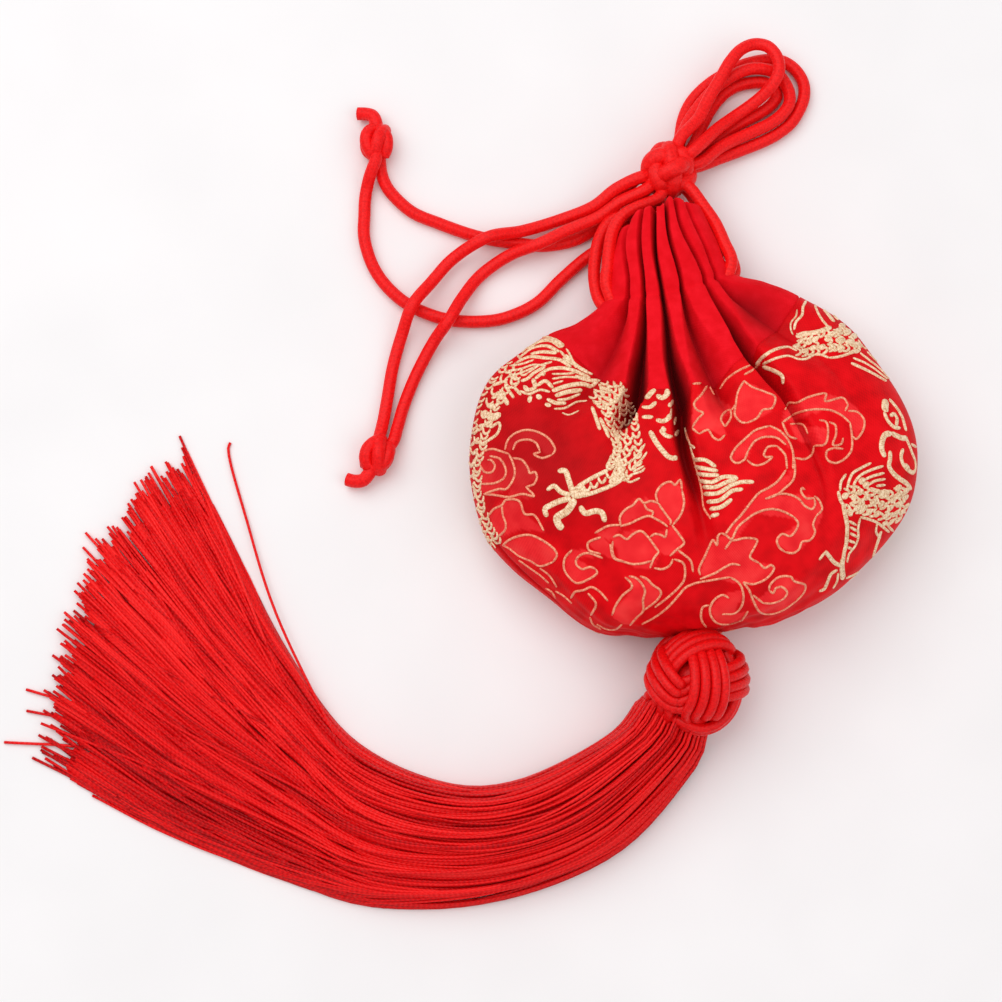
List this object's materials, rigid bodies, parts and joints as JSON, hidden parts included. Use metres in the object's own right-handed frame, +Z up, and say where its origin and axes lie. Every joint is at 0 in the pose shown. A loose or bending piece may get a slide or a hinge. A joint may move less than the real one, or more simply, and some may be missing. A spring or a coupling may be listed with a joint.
{
  "type": "drawstring sachet pouch",
  "caption": "Folk brocade sachet pouch lying flat, with a pleated plain collar drawn shut by knotted cords, a woven ball knot and a long fanned thread tassel",
  "frame": {"origin": "on the tabletop under the middle of the box around the bag, knots and tassel", "axes": "+X to the right across the lying sachet, +Y from the tassel towards the hanging loops, +Z up from the table"},
  "size_m": [0.1736, 0.1746, 0.03],
  "materials": {
    "brocade": "red satin brocade with gold and pale red woven figures",
    "collar_cloth": "plain red cloth with a soft matt sheen",
    "cord": "satin red knotting cord",
    "ball_cord": "fine satin red cord laid in bands",
    "tassel_thread": "twisted silky red thread"
  },
  "bodies": {
    "root": {"brocade_front": "brocade", "brocade_back": "brocade", "collar_front": "collar_cloth", "collar_back": "collar_cloth", "button_knot": "cord", "ball_knot": "ball_cord", "tassel": "tassel_thread", "end_knot_1": "cord", "end_knot_2": "cord", "hanging_loop_1": "cord", "hanging_loop_2": "cord", "hanging_loop_3": "cord", "hanging_loop_4": "cord", "left_cord_1": "cord", "left_cord_2": "cord", "right_cord_1": "cord", "right_cord_2": "cord", "free_cord_1": "cord", "free_cord_2": "cord", "free_cord_3": "cord", "free_cord_4": "cord"}
  },
  "joints": []
}
